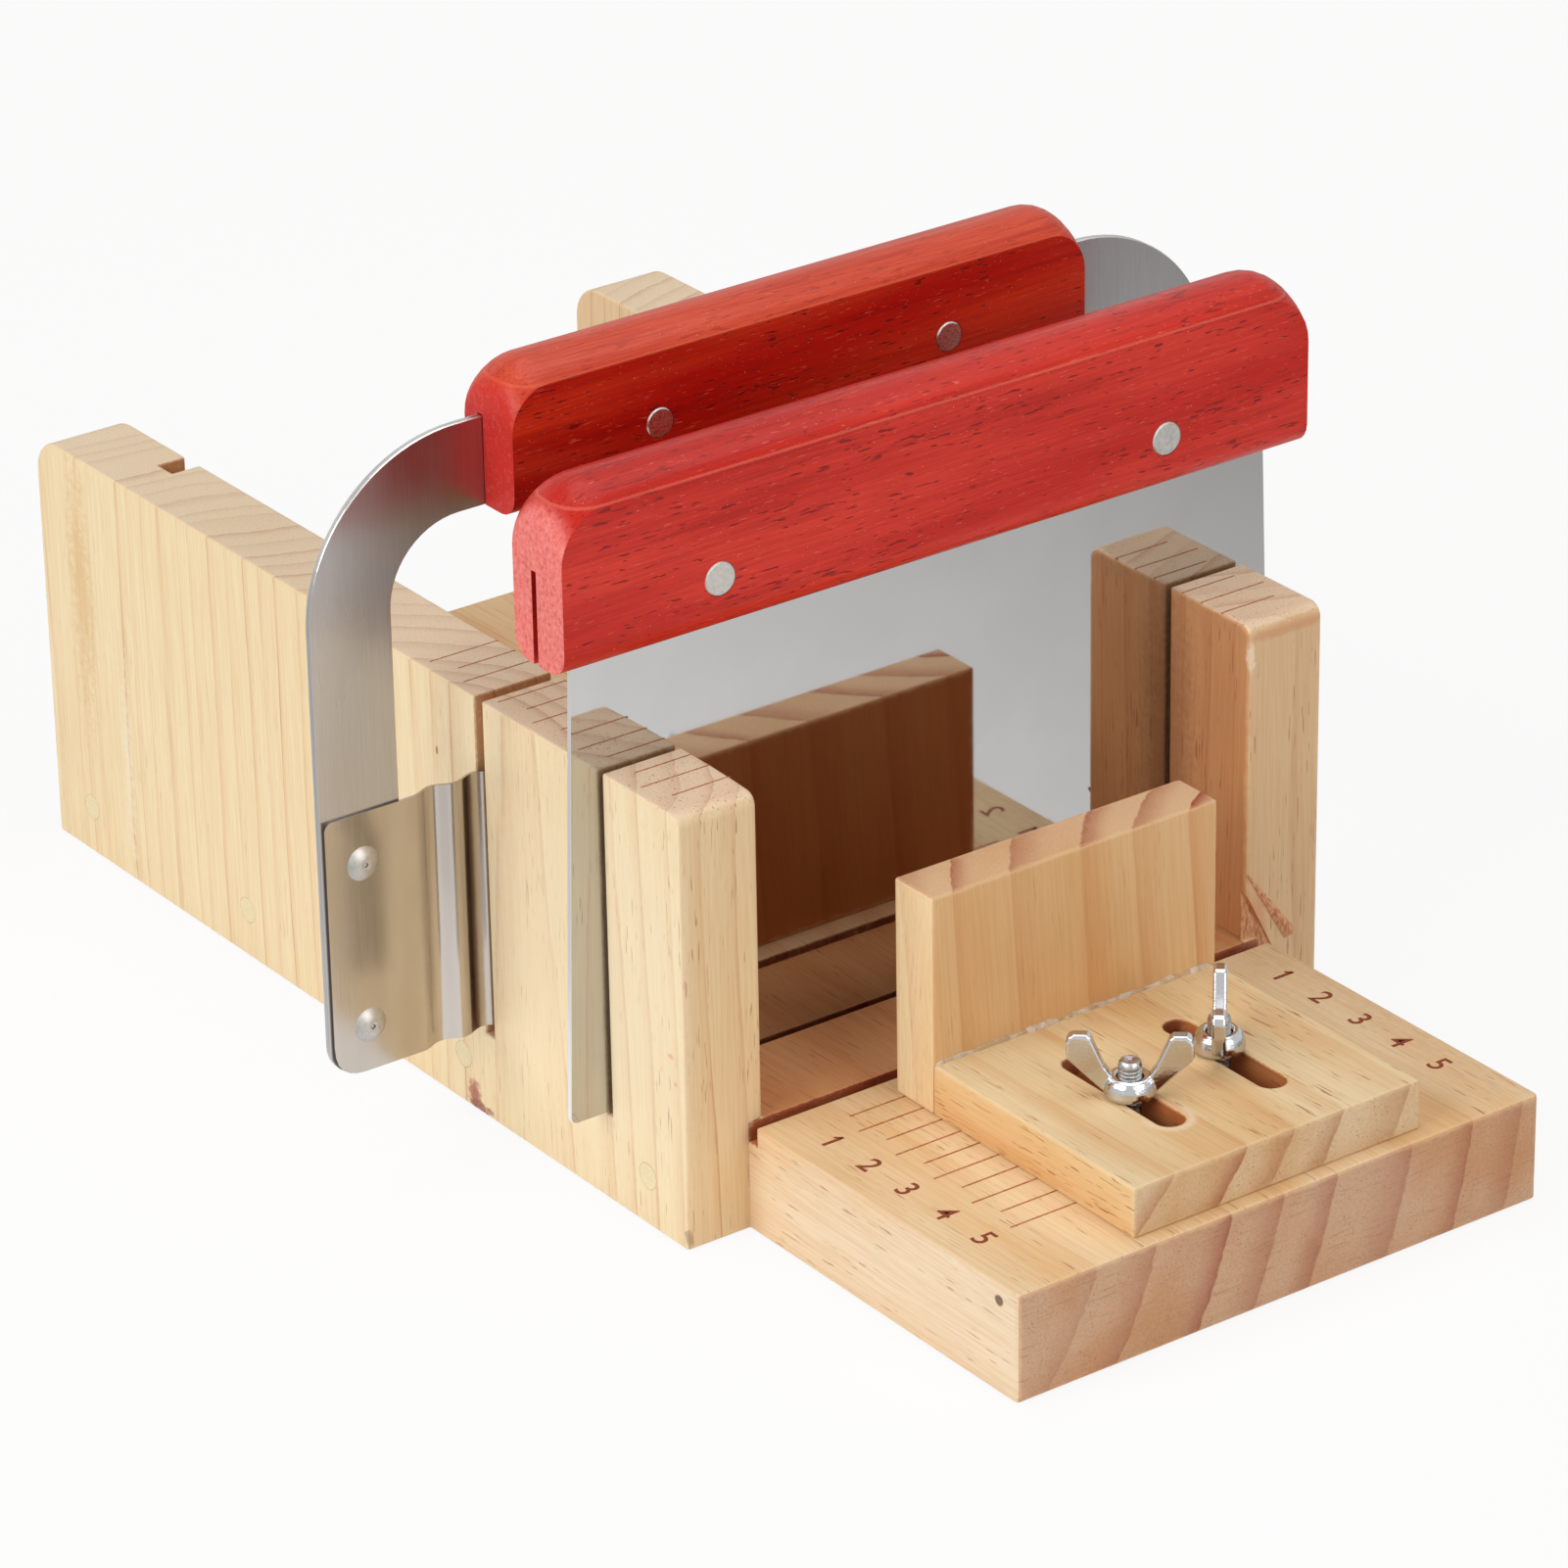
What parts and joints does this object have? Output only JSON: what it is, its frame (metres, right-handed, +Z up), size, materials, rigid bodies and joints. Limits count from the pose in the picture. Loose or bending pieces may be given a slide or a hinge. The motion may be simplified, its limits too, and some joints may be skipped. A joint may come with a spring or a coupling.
{
  "type": "soap cutter",
  "caption": "Wooden soap cutting box with a ruled end and a sliding stop, and straight and wavy steel cutters with red wooden handles standing in its saw slots",
  "frame": {"origin": "middle of the base board's underside, on the table, half way along the board and between the walls", "axes": "+X along the box to the ruled end, +Y across it to the right wall, +Z up"},
  "size_m": [0.2682, 0.1856, 0.1377],
  "materials": {
    "pine": "planed, unvarnished",
    "pine_wall": "planed, unvarnished",
    "stop_pine": "planed, unvarnished",
    "dowel_wood": "end grain, sanded flush",
    "red_wood": "stained and oiled",
    "bolt_steel": "zinc plated",
    "nut_chrome": "bright plated",
    "polished_steel": "mirror polished",
    "brushed_steel": "brushed along the strip",
    "rivet_aluminium": "matt"
  },
  "bodies": {
    "box": {"base_board": "pine", "left_wall": "pine_wall", "right_wall": "pine_wall", "left_wall_dowels": "dowel_wood", "right_wall_dowels": "dowel_wood", "left_stop_bolt": "bolt_steel", "right_stop_bolt": "bolt_steel"},
    "stop": {"stop_foot": "stop_pine", "stop_fence": "stop_pine"},
    "left_nut": {"left_wing_nut": "nut_chrome"},
    "right_nut": {"right_wing_nut": "nut_chrome"},
    "straight_cutter": {"straight_blade": "polished_steel", "straight_handle": "red_wood", "straight_left_rivet": "rivet_aluminium", "straight_right_rivet": "rivet_aluminium"},
    "wavy_cutter": {"wavy_blade": "polished_steel", "wavy_bow": "brushed_steel", "wavy_handle": "red_wood", "wavy_left_handle_rivet": "rivet_aluminium", "wavy_right_handle_rivet": "rivet_aluminium", "left_upper_blade_rivet": "rivet_aluminium", "left_lower_blade_rivet": "rivet_aluminium", "right_upper_blade_rivet": "rivet_aluminium", "right_lower_blade_rivet": "rivet_aluminium"}
  },
  "joints": [
    {"name": "stop_slide", "type": "slide", "parent": "box", "child": "stop", "axis": [1, 0, 0], "range_m": [-0.0102, 0.0105]},
    {"name": "left_nut_turn", "type": "hinge", "parent": "box", "child": "left_nut", "pos_m": [0.10625, -0.0093, 0.0286], "axis": [0, 0, 1], "range_deg": [0, 360]},
    {"name": "right_nut_turn", "type": "hinge", "parent": "box", "child": "right_nut", "pos_m": [0.10315, 0.0117, 0.0286], "axis": [0, 0, 1], "range_deg": [0, 360]},
    {"name": "straight_lift", "type": "slide", "parent": "box", "child": "straight_cutter", "axis": [0, 0, 1], "range_m": [0, 0.066]},
    {"name": "wavy_lift", "type": "slide", "parent": "box", "child": "wavy_cutter", "axis": [0, 0, 1], "range_m": [0, 0.066]}
  ]
}
